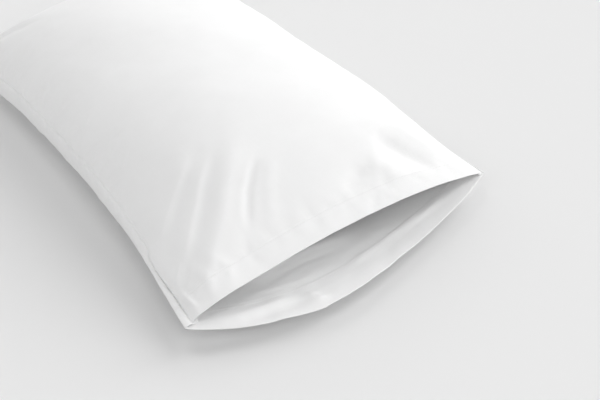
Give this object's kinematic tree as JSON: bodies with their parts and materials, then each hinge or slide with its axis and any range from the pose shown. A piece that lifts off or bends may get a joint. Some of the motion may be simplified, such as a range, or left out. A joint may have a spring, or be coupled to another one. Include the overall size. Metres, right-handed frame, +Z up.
{
  "type": "pillowcase",
  "caption": "White cotton pillowcase plumped as round a pillow, sewn along both sides and one end, its hemmed mouth lying open with the lower hem bowed out.",
  "frame": {"origin": "on the surface it rests on, under the centre of its outline seen from above", "axes": "-Y out of the open mouth, +Y towards the closed end, +X from side seam to side seam, +Z up"},
  "size_m": [0.4908, 0.8016, 0.1534],
  "materials": {
    "top_cotton": "matt plain-weave cotton",
    "bottom_cotton": "matt plain-weave cotton"
  },
  "bodies": {
    "root": {"top_panel": "top_cotton", "bottom_panel": "bottom_cotton"}
  },
  "joints": []
}
